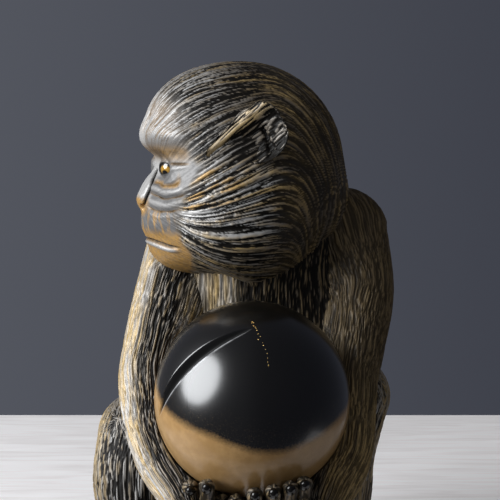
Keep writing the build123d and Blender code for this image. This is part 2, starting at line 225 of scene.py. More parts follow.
def soft_cut(one, other, blend):
    """One field with another taken away, its rim rounded."""
    return -soft_union(-one, other, blend)


def cast(field, starts, ways, far, rounds=24):
    """How far each ray runs inside a form, by halving between its start and a point outside."""
    near = np.zeros(ways.shape[:-1])
    beyond = np.full(ways.shape[:-1], float(far))
    for _ in range(rounds):
        half = (near + beyond) / 2
        inside = field(starts + ways * half[..., None]) < 0
        near = np.where(inside, half, near)
        beyond = np.where(inside, beyond, half)
    return near


def grid_normals(points, outwards, wrap):
    """Normals of a grid from its two differences, turned to agree with a rough outward way."""
    down = np.gradient(points, axis=0)
    across = np.roll(points, -1, 1) - np.roll(points, 1, 1) if wrap else np.gradient(points, axis=1)
    normals = np.cross(down, across)
    small = np.linalg.norm(normals, axis=-1, keepdims=True) < 1e-7
    normals = np.where(small, unit(outwards), unit(normals))
    return normals * np.where((normals * outwards).sum(-1, keepdims=True) < 0, -1, 1)


def clear_of_ball(points):
    """Points inside the ball's room pushed straight out to its edge, which dishes a form for the ball."""
    away = points - BALL_CENTRE
    reach = np.linalg.norm(away, axis=-1, keepdims=True)
    return BALL_CENTRE + away * np.maximum(1, (BALL_RADIUS + BALL_ROOM) / np.maximum(reach, 1e-6))


def swelling(gap, reach=LIMB_SWELL):
    """How far a form swells towards a near one: a quarter of the reach at contact, fading by the square."""
    return reach / 4 * np.clip(1 - np.maximum(gap, 0) / reach, 0, 1) ** 2


# Fur
STRAND_STRETCH = 13  # length of a strand against its width
FUR_LAYERS = ((1, 0), (0.62, 21.7), (2.7, 43.1))  # width and noise shift of strands, fine hairs and tufts


def wander(places):
    """A gentle sideways drift that keeps strands from running dead straight."""
    return np.stack([noise(places / 14 + shift) for shift in (0, 17.3, 41.9)], axis=-1)


def settled(values):
    """Values about nought with a spread of one."""
    return (values - values.mean()) / values.std()


def streaks(places, flow, hold, grain, reach, steps, shift=0.0):
    """Noise smeared along the fur: its mean over a walk both ways with the flow, held to a plain form."""
    total = noise(places / grain + shift)
    for way in (1, -1):
        walk = places
        for step in range(steps):
            if step % 4 == 0:
                stride = flow(walk) * (way * reach / steps)
            walk = hold(walk + stride)
            total = total + noise(walk / grain + shift)
    return settled(total)


def smeared_fur(places, flow, hold, grain):
    """Height of carved fur from -1 to 1, and its tufts, where the lie of the hair changes from place to place."""
    held = hold(places)
    strand = streaks(held, flow, hold, grain, 6.5, 15)
    fine = streaks(held, flow, hold, grain * 0.62, 4.5, 15, 21.7)
    tuft = streaks(held, flow, hold, grain * 2.7, 10, 8, 43.1)
    return np.tanh(0.75 * (strand + 0.5 * fine + 0.15 * tuft)), tuft


def combed_fur(lie, grain):
    """The same where the places are already drawn out along the hair: noise at three widths."""
    strand, fine, tuft = (settled(noise(lie / (grain * width) + shift)) for width, shift in FUR_LAYERS)
    return np.tanh(0.75 * (strand + 0.6 * fine + 0.2 * tuft)), tuft


def drawn_along(places, way):
    """Places squeezed along a way, so that noise over them runs out into long strands."""
    way = unit(np.array(way, float))
    return places - (places @ way)[..., None] * way * (1 - 1 / STRAND_STRETCH)


def ridges(height, cover):
    """How much of the fur the dry brush touched: only its crests at cover 0, all but the grooves at cover 1."""
    low = 0.5 - 1.25 * np.asarray(cover)
    return ramp(height, low + 0.1, low + 0.6)


# Meshes
def grid_faces(rows, columns, wrap, offset):
    """Quads between neighbouring rows and columns of a grid."""
    row = np.arange(rows - 1)[:, None]
    column = np.arange(columns if wrap else columns - 1)[None, :]
    following = (column + 1) % columns
    corners = (row * columns + column, row * columns + following,
               (row + 1) * columns + following, (row + 1) * columns + column)
    return np.stack([np.broadcast_to(c, (rows - 1, column.shape[1])) for c in corners], -1).reshape(-1, 4) + offset


class Shell:
    """One closed grid: its points, whether its columns close on themselves, and its painted masks."""

    def __init__(self, points, wrap=True, hub=None, **masks):
        self.points, self.wrap, self.hub, self.masks = points, wrap, hub, masks

    def mesh_parts(self, offset):
        """Points, quads, triangles and masks. End rows close on their own middle, and open sides on a hub."""
        rows, columns = self.points.shape[:2]
        ends = [self.points[0].mean(0), self.points[-1].mean(0)]
        extra = np.array(ends if self.hub is None else [*ends, self.hub])
        points = np.vstack([self.points.reshape(-1, 3), extra])
        quads = grid_faces(rows, columns, self.wrap, offset)
        first, last = rows * columns + offset, rows * columns + 1 + offset
        column = np.arange(columns if self.wrap else columns - 1)
        following = (column + 1) % columns
        final = (rows - 1) * columns + offset
        fans = [np.stack([np.full_like(column, first), following + offset, column + offset], -1),
                np.stack([np.full_like(column, last), column + final, following + final], -1)]
        if not self.wrap:
            hub = np.full(rows - 1, rows * columns + 2 + offset)
            start = np.arange(rows - 1) * columns + offset
            stop = start + columns - 1
            fans += [np.stack([hub, start, start + columns], -1), np.stack([hub, stop + columns, stop], -1)]
            middle = np.array([[hub[0], first, start[0]], [hub[0], stop[0], first]])
            tail = np.array([[hub[0], start[-1] + columns, last], [hub[0], last, stop[-1] + columns]])
            fans += [middle, tail]
        masks = {}
        for name, values in self.masks.items():
            ends = [values[0].mean(), values[-1].mean()]
            masks[name] = np.concatenate([values.ravel(), ends, [0] * (len(extra) - 2)])
        return points, quads, np.vstack(fans), masks


def shell_volume(points, quads, triangles):
    """Signed volume, from the pyramids between the origin and every face."""
    corners = np.vstack([quads[:, :3], quads[:, [0, 2, 3]], triangles])
    a, b, c = (points[corners[:, k]] for k in range(3))
    return (a * np.cross(b, c)).sum() / 6


def put_piece(name, shells, material, body, nodes):
    """Writes closed grids as one mesh, faces outwards, and ties it to its body, its solids and its finish."""
    points, faces, sizes, masks, count = [], [], [], {}, 0
    for shell in shells:
        own, quads, triangles, own_masks = shell.mesh_parts(0)
        if shell_volume(own, quads, triangles) < 0:
            quads, triangles = quads[:, ::-1], triangles[:, ::-1]
        faces += [(quads + count).ravel(), (triangles + count).ravel()]
        sizes += [np.full(len(quads), 4), np.full(len(triangles), 3)]
        for key in {**masks, **own_masks}:
            masks.setdefault(key, [np.zeros(count)])
            masks[key].append(own_masks.get(key, np.zeros(len(own))))
        points.append(own)
        count += len(own)
    points, faces, sizes = np.vstack(points) * MM, np.concatenate(faces), np.concatenate(sizes)
    mesh = bpy.data.meshes.new(name)
    mesh.vertices.add(len(points))
    mesh.vertices.foreach_set("co", points.astype(np.float32).ravel())
    mesh.loops.add(len(faces))
    mesh.loops.foreach_set("vertex_index", faces.astype(np.int32))
    mesh.polygons.add(len(sizes))
    mesh.polygons.foreach_set("loop_start", (np.cumsum(sizes) - sizes).astype(np.int32))
    mesh.polygons.foreach_set("use_smooth", np.ones(len(sizes), bool))
    mesh.update(calc_edges=True)
    mesh.validate()
    for key, values in masks.items():
        layer = mesh.attributes.new(key, "FLOAT", "POINT")
        layer.data.foreach_set("value", np.concatenate(values).astype(np.float32))
    mesh.materials.append(material)
    piece = bpy.data.objects.new(name, mesh)
    bpy.context.scene.collection.objects.link(piece)
    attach(piece, body)
    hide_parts(*nodes)
    return piece


# Shader helpers
def new_material(name):
    """A material with its nodes, its links and its Principled shader."""
    made = bpy.data.materials.new(name)
    made.use_nodes = True
    tree = made.node_tree
    return made, tree, tree.nodes["Principled BSDF"]


def value_of(tree, name):
    """A painted mask as a value."""
    node = tree.nodes.new("ShaderNodeAttribute")
    node.attribute_name = name
    return node.outputs["Fac"]


def blended(tree, share, first, second):
    """A colour between two, by a share. Each is a colour or a socket."""
    node = tree.nodes.new("ShaderNodeMix")
    node.data_type = "RGBA"
    tree.links.new(share, node.inputs["Factor"])
    for name, colour in (("A", first), ("B", second)):
        socket = next(s for s in node.inputs if s.name == name and s.type == "RGBA")
        if isinstance(colour, tuple):
            socket.default_value = (*colour, 1)
        else:
            tree.links.new(colour, socket)
    return next(s for s in node.outputs if s.type == "RGBA")


def scaled(tree, value, low, high):
    """A value carried from 0..1 to low..high."""
    node = tree.nodes.new("ShaderNodeMapRange")
    tree.links.new(value, node.inputs["Value"])
    node.inputs["To Min"].default_value = low
    node.inputs["To Max"].default_value = high
    return node.outputs["Result"]


def multiplied(tree, one, other):
    """The product of two values."""
    node = tree.nodes.new("ShaderNodeMath")
    node.operation = "MULTIPLY"
    for socket, value in zip(node.inputs, (one, other)):
        tree.links.new(value, socket)
    return node.outputs["Value"]


def speckle_group():
    """A mask of small flecks: object-space noise cut at a level, with a soft edge."""
    group = bpy.data.node_groups.new("paint_speckle", "ShaderNodeTree")
    for name, default in (("Scale", 900.0), ("Level", 0.6), ("Edge", 0.05)):
        socket = group.interface.new_socket(name, in_out="INPUT", socket_type="NodeSocketFloat")
        socket.default_value = default
    group.interface.new_socket("Mask", in_out="OUTPUT", socket_type="NodeSocketFloat")
    inside, outside = group.nodes.new("NodeGroupInput"), group.nodes.new("NodeGroupOutput")
    place, grain = group.nodes.new("ShaderNodeTexCoord"), group.nodes.new("ShaderNodeTexNoise")
    grain.inputs["Detail"].default_value = 3
    top, cut = group.nodes.new("ShaderNodeMath"), group.nodes.new("ShaderNodeMapRange")
    group.links.new(place.outputs["Object"], grain.inputs["Vector"])
    group.links.new(inside.outputs["Scale"], grain.inputs["Scale"])
    group.links.new(inside.outputs["Level"], top.inputs[0])
    group.links.new(inside.outputs["Edge"], top.inputs[1])
    group.links.new(grain.outputs["Fac"], cut.inputs["Value"])
    group.links.new(inside.outputs["Level"], cut.inputs["From Min"])
    group.links.new(top.outputs["Value"], cut.inputs["From Max"])
    group.links.new(cut.outputs["Result"], outside.inputs["Mask"])
    return group


SPECKLE = speckle_group()


def speckled(tree, scale, level, edge):
    """The fleck mask placed in a material with its own values."""
    node = tree.nodes.new("ShaderNodeGroup")
    node.node_tree = SPECKLE
    for name, value in (("Scale", scale), ("Level", level), ("Edge", edge)):
        node.inputs[name].default_value = value
    return node.outputs["Mask"]


# Finishes
SOOT = (0.008, 0.007, 0.006)
BRONZE = (0.09, 0.064, 0.036)
GOLD = (0.44, 0.31, 0.135)
SILVER = (0.40, 0.39, 0.38)
PEWTER = (0.155, 0.15, 0.147)
TAN_SKIN = (0.46, 0.26, 0.075)


def fur_paint():
    """Soot in the grooves, bronze on the ridges, gold and silver brushed over them, and bare painted skin. On the head
    and arms some of these masks also carry painted light and shade.
    """
    made, tree, shader = new_material("fur_paint")
    ridge, gold, silver = (value_of(tree, key) for key in ("ridge", "gold", "silver"))
    bare, tan, nail = (value_of(tree, key) for key in ("bare", "tan", "nail"))
    flecks = scaled(tree, speckled(tree, 900, 0.36, 0.25), 0.7, 1)
    colour = blended(tree, multiplied(tree, gold, flecks), BRONZE, GOLD)
    colour = blended(tree, bare, colour, PEWTER)
    colour = blended(tree, silver, colour, SILVER)
    colour = blended(tree, multiplied(tree, tan, flecks), colour, TAN_SKIN)
    colour = blended(tree, ridge, SOOT, colour)
    colour = blended(tree, nail, colour, SOOT)
    tree.links.new(colour, shader.inputs["Base Color"])
    tree.links.new(scaled(tree, ridge, 0.0, 0.22), shader.inputs["Metallic"])
    tree.links.new(scaled(tree, nail, 0.44, 0.14), shader.inputs["Roughness"])
    tree.links.new(scaled(tree, ridge, 0.1, 0.45), shader.inputs["Specular IOR Level"])
    return made


def ball_lacquer():
    """Black above and tan gold below under a thick clear coat, the border broken up by flecks."""
    made, tree, shader = new_material("ball_lacquer")
    border, crease = value_of(tree, "border"), value_of(tree, "crease")
    flecks = speckled(tree, 1600, 0.35, 0.35)
    edge = tree.nodes.new("ShaderNodeMath")
    edge.operation = "MULTIPLY_ADD"
    tree.links.new(flecks, edge.inputs[0])
    edge.inputs[1].default_value = 0.12
    tree.links.new(border, edge.inputs[2])
    share = tree.nodes.new("ShaderNodeMapRange")
    share.inputs["From Min"].default_value = 0.38
    share.inputs["From Max"].default_value = 0.80
    tree.links.new(edge.outputs["Value"], share.inputs["Value"])
    tan = blended(tree, speckled(tree, 260, 0.42, 0.3), (0.35, 0.205, 0.08), (0.42, 0.255, 0.107))
    colour = blended(tree, share.outputs["Result"], tan, (0.004, 0.0035, 0.003))
    dust = multiplied(tree, speckled(tree, 3600, 0.64, 0.06), value_of(tree, "dusted"))
    colour = blended(tree, dust, colour, (0.16, 0.11, 0.05))
    colour = blended(tree, crease, colour, (0.004, 0.004, 0.004))
    # The pale crease edge: partly worn, partly a painted highlight.
    colour = blended(tree, value_of(tree, "wear_and_painted_light"), colour, (0.55, 0.55, 0.56))
    tree.links.new(colour, shader.inputs["Base Color"])
    tree.links.new(scaled(tree, crease, 0.3, 0.7), shader.inputs["Roughness"])
    shader.inputs["Specular IOR Level"].default_value = 0.2
    coat = multiplied(tree, scaled(tree, crease, 1, 0.05), scaled(tree, share.outputs["Result"], 0.3, 1))
    tree.links.new(coat, shader.inputs["Coat Weight"])
    shader.inputs["Coat IOR"].default_value = 1.65
    shader.inputs["Coat Roughness"].default_value = 0.2
    return made


def amber_eye():
    """A polished amber bead with a dark pupil and rim, by the painted distance from the line of sight."""
    made, tree, shader = new_material("amber_eye")
    colour = blended(tree, value_of(tree, "iris"), (0.020, 0.016, 0.012), (0.40, 0.22, 0.035))
    colour = blended(tree, value_of(tree, "pupil"), colour, (0.004, 0.004, 0.004))
    tree.links.new(colour, shader.inputs["Base Color"])
    shader.inputs["Roughness"].default_value = 0.08
    shader.inputs["Coat Weight"].default_value = 1
    return made


def plain(name, colour, roughness, metallic=0.0, dust=None):
    """A finish of one colour, with darker flecks where dust gives their scale."""
    made, tree, shader = new_material(name)
    shader.inputs["Base Color"].default_value = (*colour, 1)
    if dust:
        dark = tuple(c * 0.6 for c in colour)
        tree.links.new(blended(tree, speckled(tree, dust, 0.5, 0.2), colour, dark), shader.inputs["Base Color"])
    shader.inputs["Roughness"].default_value = roughness
    shader.inputs["Metallic"].default_value = metallic
    return made


FUR = fur_paint()
LACQUER = ball_lacquer()
AMBER = amber_eye()
STEEL = plain("steel_dowel", (0.55, 0.55, 0.57), 0.35, 1.0)
BOARD = plain("base_board", (0.30, 0.21, 0.13), 0.8, dust=700)
FELT = plain("felt", (0.02, 0.02, 0.02), 0.95, dust=1500)
GILT = plain("gold_leaf", (0.75, 0.48, 0.16), 0.3, 1.0)


# Runs and tubes
def run_through(stations, count):
    """A smooth run through stations: a Catmull-Rom line on place and radius together, evenly spaced."""
    knots = np.array([(*place, radius) for place, radius in stations], float)
    padded = np.vstack([2 * knots[0] - knots[1], knots, 2 * knots[-1] - knots[-2]])
    step = np.linspace(0, len(knots) - 1, 600)
    cell = np.minimum(step.astype(int), len(knots) - 2)
    f = (step - cell)[:, None]
    a, b, c, d = (padded[cell + k] for k in range(4))
    line = 0.5 * (2 * b + (c - a) * f + (2 * a - 5 * b + 4 * c - d) * f**2 + (3 * b - a - 3 * c + d) * f**3)
    length = np.concatenate([[0], np.cumsum(np.linalg.norm(np.diff(line[:, :3], axis=0), axis=1))])
    even = np.linspace(0, length[-1], count)
    return np.stack([np.interp(even, length, line[:, k]) for k in range(4)], -1)


def tube_grid(run, columns, cap_rows=16):
    """A round tube along a run with domed ends, as (points, outward ways, lie of its fur, nearness to an end)."""
    axis, radius = run[:, :3], run[:, 3]
    tangent = unit(np.gradient(axis, axis=0))
    dome = np.linspace(np.pi / 2, 0, cap_rows + 1)[:-1]
    start = axis[0] - tangent[0] * (radius[0] * np.sin(dome))[:, None]
    end = (axis[-1] + tangent[-1] * (radius[-1] * np.sin(dome))[:, None])[::-1]
    centres = np.vstack([start, axis, end])
    spans = np.concatenate([radius[0] * np.cos(dome), radius, (radius[-1] * np.cos(dome))[::-1]])
    ways = np.vstack([np.repeat(tangent[:1], cap_rows, 0), tangent, np.repeat(tangent[-1:], cap_rows, 0)])
    side = unit(np.array((1.0, 0, 0)) - ways * ways[:, :1])
    front = np.cross(ways, side)
    turn = np.linspace(0, 2 * np.pi, columns, endpoint=False)
    spokes = side[:, None] * np.cos(turn)[:, None] + front[:, None] * np.sin(turn)[:, None]
    points = centres[:, None] + spokes * np.maximum(spans, 0.02)[:, None, None]
    lean = np.concatenate([-np.sin(dome), np.zeros(len(axis)), np.sin(dome)[::-1]])
    outwards = unit(spokes * np.sqrt(1 - lean**2)[:, None, None] + ways[:, None] * lean[:, None, None])
    length = np.concatenate([[0], np.cumsum(np.linalg.norm(np.diff(centres, axis=0), axis=1))])
    girth = radius.mean()
    lie = np.stack(np.broadcast_arrays(girth * np.cos(turn), girth * np.sin(turn), length[:, None] / STRAND_STRETCH), -1)
    return points, outwards, lie, ramp(np.abs(lean), 0.86, 0.98)[:, None]


def by_ball(direction, standoff):
    """A place that stands off the ball's surface towards a direction."""
    return BALL_CENTRE + unit(np.array(direction, float)) * (BALL_RADIUS + standoff)


def arm_stations(top, end):
    """Shoulder to wrist as places and radii."""
    return [*top, *((tuple(by_ball(way, standoff)), radius) for way, standoff, radius in end)]


ARMS = {"right": arm_stations(RIGHT_ARM_TOP, RIGHT_ARM_END), "left": arm_stations(LEFT_ARM_TOP, LEFT_ARM_END)}
LEGS = {"right": RIGHT_LEG, "left": LEFT_LEG}


def torso_field(places):
    """Chest and haunch run together."""
    return soft_union(*(ellipsoid_field(places, form) for form in TORSO_FORMS), TORSO_BLEND)


def patches(places, size, shift=0.0):
    """Broad uneven patches of brushed paint, from 0 to 1."""
    return np.clip(0.5 + 0.9 * noise(places / size + shift), 0, 1)


def furred(points, outwards, lie, gold, silver, cover=0.4, lift=0.0, grain=0.32, depth=0.36, keep=1.0, tip=0.0):
    """A grid pressed with fur, clear of the ball, with its paint masks.

    cover is how much of the fur is brushed, lift how much paint lies in its grooves, and keep fades the relief.
    Towards a tip, where strands would run together to a point, the fur is a plain stipple.
    """
    height, tuft = combed_fur(lie + 1.3 * wander(points), grain)
    height = height + (np.tanh(2 * noise(points / grain)) - height) * tip
    normals = grid_normals(points, outwards, True)
    laid = clear_of_ball(points + normals * (depth * height * keep)[..., None])
    masks = {"ridge": lift + (1 - lift) * ridges(height, cover),
             "gold": np.clip(gold * (1 + 0.4 * tuft), 0, 1),
             "silver": np.clip(silver * (1 - 0.6 * tuft), 0, 1)}
    return laid, masks


# Torso
def skull_field(places):
    """Skull and cheeks seen from the figure's own directions, for the forms that meet them."""
    c, s = np.cos(HEAD_TURN), np.sin(HEAD_TURN)
    x, y, z = np.moveaxis(places - HEAD_CENTRE, -1, 0)
    half = np.stack([x * c + y * s, np.abs(y * c - x * s), z], -1)
    return soft_union(ellipsoid_field(half, SKULL), ellipsoid_field(half, CHEEK), 9)


def torso_shell(rows=132, columns=705):
    """Horizontal rays from the spine out to the torso's surface, swelling where a limb leaves it."""
    level = np.linspace(0, 1, rows)
    height = TORSO_FOOT + (TORSO_TOP - TORSO_FOOT) * (1 - (1 - level) ** 1.5)
    turn = np.linspace(0, 2 * np.pi, columns, endpoint=False)
    ways = np.zeros((rows, columns, 3))
    ways[..., 0], ways[..., 1] = np.cos(turn), np.sin(turn)
    spine = np.stack([np.full(rows, TORSO_AXIS[0]), np.full(rows, TORSO_AXIS[1]), height], -1)[:, None]
    points = spine + ways * np.maximum(cast(torso_field, spine, ways, 70), 0.05)[..., None]
    limbs = [*ARMS.values(), *LEGS.values()]
    gap = np.min([tube_field(points, stations) for stations in limbs], axis=0)
    points = points + ways * (swelling(gap) + swelling(skull_field(points), NECK_SWELL))[..., None]
    throat = ramp(points[..., 2], 100, 125) * ramp(-points[..., 1], 20, 32) * ramp(-points[..., 0], 6, 11)
    throat = throat * ramp(points[..., 0], -27, -22)
    shade = ramp(points[..., 2], 95, 115) * ramp(-points[..., 1], 5, 20) * (1 - throat)
    lie = np.concatenate([TORSO_GIRTH * ways[..., :2], points[..., 2:] / STRAND_STRETCH], -1)
    points, masks = furred(points, ways, lie, 0.3 + 0.7 * throat - 0.15 * shade, 0.05 + 0.3 * throat,
                           0.25 + 0.8 * throat - 0.15 * shade, 0.1 + 0.4 * throat - 0.1 * shade,
                           grain=0.42, keep=ramp(points[..., 2], TORSO_FOOT, 6))
    points[..., 2] = np.maximum(points[..., 2], TORSO_FOOT)
    return Shell(points, **masks)


# Head
def to_world(places):
    """From the head's own directions to the figure's."""
    c, s = np.cos(HEAD_TURN), np.sin(HEAD_TURN)
    x, y, z = places[..., 0], places[..., 1], places[..., 2]
    return np.stack([x * c - y * s, x * s + y * c, z], -1) + HEAD_CENTRE


def eye_directions():
    """Line of sight of the left eye, and the ways across and up its lids."""
    ahead = np.array((np.cos(EYE_GAZE), np.sin(EYE_GAZE), 0.02))
    across = np.array((-np.sin(EYE_GAZE), np.cos(EYE_GAZE), 0))
    return ahead, across, np.array((0.0, 0, 1))


def lid_field(places):
    """The lids: a ball round the eye with an almond opening along the line of sight."""
    ahead, across, up = eye_directions()
    away = places - EYE_PLACE
    ball = np.linalg.norm(away, axis=-1) - LID_RADIUS
    turned = np.stack([away @ ahead - LID_RADIUS, away @ across, away @ up], -1)
    return soft_cut(ball, ellipsoid_field(turned, ((0, 0, 0), LID_OPENING)), 0.6)


def mouth_gap(places):
    """Height above the mouth line, which falls towards the jaw."""
    back = np.clip(MOUTH_FRONT[0] - places[..., 0], 0, 10)
    return places[..., 2] - MOUTH_FRONT[1] + (MOUTH_FALL - MOUTH_CURVE * back) * back


def head_field(places):
    """Skull, forehead, cheeks, muzzle, brow and nose run together, hollowed at the eyes, with lids and nostrils."""
    half = np.stack([places[..., 0], np.abs(places[..., 1]), places[..., 2]], -1)
    form = soft_union(ellipsoid_field(half, SKULL), ellipsoid_field(half, FOREHEAD), 7)
    form = soft_union(form, ellipsoid_field(half, CHEEK), 9)
    form = soft_cut(form, ellipsoid_field(half, FACE_BAND), 4)
    form = soft_cut(form, ellipsoid_field(half, ORBIT), 3)
    form = soft_union(form, ellipsoid_field(half, MUZZLE), 6)
    form = soft_union(form, ellipsoid_field(half, BROW), 5)
    form = soft_union(form, tube_field(half, BRIDGE), 5)
    form = soft_union(form, ellipsoid_field(half, NOSE_TIP), 3)
    form = soft_cut(form, ellipsoid_field(half, NOSTRIL), 0.8)
    return soft_union(form, lid_field(half), 1.6)


def head_flow(places):
    """Fur runs backwards: rising a little on brow, temple and upper cheek, level at the jaw, and down at the nape."""
    forward, up = places[..., 0], places[..., 2]
    rise = np.interp(up, FLOW_HEIGHTS, FLOW_RISES)
    turned = ramp(-forward, -4, 26)
    way = np.stack([-1 + 0.35 * turned, 0 * up, rise - 1.5 * turned], -1) + 0.14 * wander(places)
    outwards = unit((places - SKULL_CENTRE) / SKULL_RADII**2)
    return unit(way - (way * outwards).sum(-1, keepdims=True) * outwards)


def on_skull(places):
    """Places drawn in to the skull's plain form, on which the lie of the fur is followed."""
    return SKULL_CENTRE + unit((places - SKULL_CENTRE) / SKULL_RADII) * SKULL_RADII


def bare_face(places):
    """1 on the bare face and 0 in the fur, by how far forward a place lies of an edge that changes with height."""
    edge = np.interp(places[..., 2], BARE_HEIGHTS, BARE_EDGES) + 1.2 * noise(places / 2.2)
    soft = 2.5 + 4.5 * ramp(places[..., 2], 4, 14) - 1.3 * ramp(-places[..., 2], 20, 26)
    return ramp((places[..., 0] - edge) / soft, -1, 1)


def face_lines(places):
    """Creases in the bare skin: puffs and lines under the eye, folds beside the nose and eye, and the mouth with its lips."""
    forward, aside, up = places[..., 0], np.abs(places[..., 1]), places[..., 2]
    rear = SIDE_VIEW[0] * forward + SIDE_VIEW[1] * aside - EYE_REAR
    ring = np.hypot(0.9 * (rear - 1.0), up - EYE_PLACE[2]) + 0.8 * noise(places / 6)
    under = ramp(-up, -1.5, 1.5) * ramp(ring, 4.2, 5.5) * (1 - ramp(ring, 17.5, 19.5)) * ramp(aside, 6, 9)
    under = under * (1 - ramp(rear + 0.3 * up, 3.6, 7.0))
    wave = np.cos((ring - 6.2) * 2 * np.pi / EYE_FOLD_PITCH)
    puffs, lines = under * wave, under * np.clip(wave, 0, 1) ** 12 * (0.4 + 0.6 * patches(places, 3))
    corner = ramp(rear, 2.4, 4) * (1 - ramp(rear, 7, 11.5)) * ramp(aside, 6, 9)
    lines = np.maximum(lines, 0.9 * corner * np.exp(-(((up - 2.4 - 0.02 * rear) / 0.42) ** 2)))
    puffs = puffs - 0.9 * corner * np.exp(-(((up + 0.2 - 0.2 * rear) / 0.8) ** 2))
    start, run = np.array(NOSE_FOLD[0]), np.subtract(NOSE_FOLD[1], NOSE_FOLD[0])
    lead = (rear + EYE_REAR) / SIDE_VIEW[0]
    share = np.clip(((lead - start[0]) * run[0] + (up - start[1]) * run[1]) / (run @ run), 0, 1)
    gap = np.hypot(lead - start[0] - share * run[0], up - start[1] - share * run[1])
    fold = np.exp(-((gap / 0.5) ** 2)) * ramp(aside, 1.5, 3)
    puffs, lines = puffs * (1 - fold), lines * (1 - fold)
    gap = mouth_gap(places)
    front = ramp(forward, MOUTH_CORNER - 1.5, MOUTH_CORNER + 3)
    line = front * np.exp(-((gap / 0.45) ** 2))
    lips = front * np.exp(-(((gap + 1.3) / 0.75) ** 2))
    return puffs, lines, fold, line, lips


def lid_rim(places):
    """1 along the edge of the lids' opening, where the eye is lined with black: partly black paint, partly a painted
    shade under the upper lid.
    """
    ahead, across, up = eye_directions()
    away = np.stack([places[..., 0], np.abs(places[..., 1]), places[..., 2]], -1) - EYE_PLACE
    turned = np.stack([away @ ahead - LID_RADIUS, away @ across, away @ up], -1)
    return np.exp(-((ellipsoid_field(turned, ((0, 0, 0), LID_OPENING)) / 0.5) ** 2))


SHOULDERS = (torso_field, lambda p: tube_field(p, ARMS["left"][:3]), lambda p: tube_field(p, ARMS["right"][:3]))


